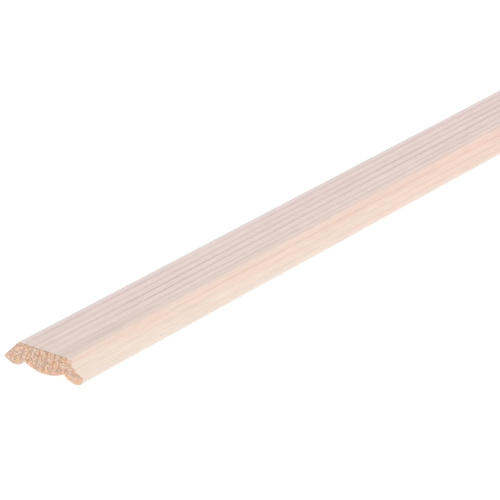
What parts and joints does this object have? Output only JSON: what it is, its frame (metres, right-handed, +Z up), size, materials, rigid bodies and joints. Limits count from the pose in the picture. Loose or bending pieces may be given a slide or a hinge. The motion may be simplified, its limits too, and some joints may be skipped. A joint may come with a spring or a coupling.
{
  "type": "pine cove moulding",
  "caption": "Long planed pine strip with a flat back, a bevel along one edge, a hollow cove along the other and a beaded underside with a wide centre round.",
  "frame": {"origin": "on the floor, under the middle of the strip: centre of the bounding box's underside", "axes": "+Z up, from the beaded underside to the flat back; +Y along the strip; +X across it, from the bevelled edge to the coved edge"},
  "size_m": [0.043, 2.4, 0.011],
  "materials": {
    "planed_pine": "planed, bare"
  },
  "bodies": {
    "root": {"cove_moulding": "planed_pine"}
  },
  "joints": []
}
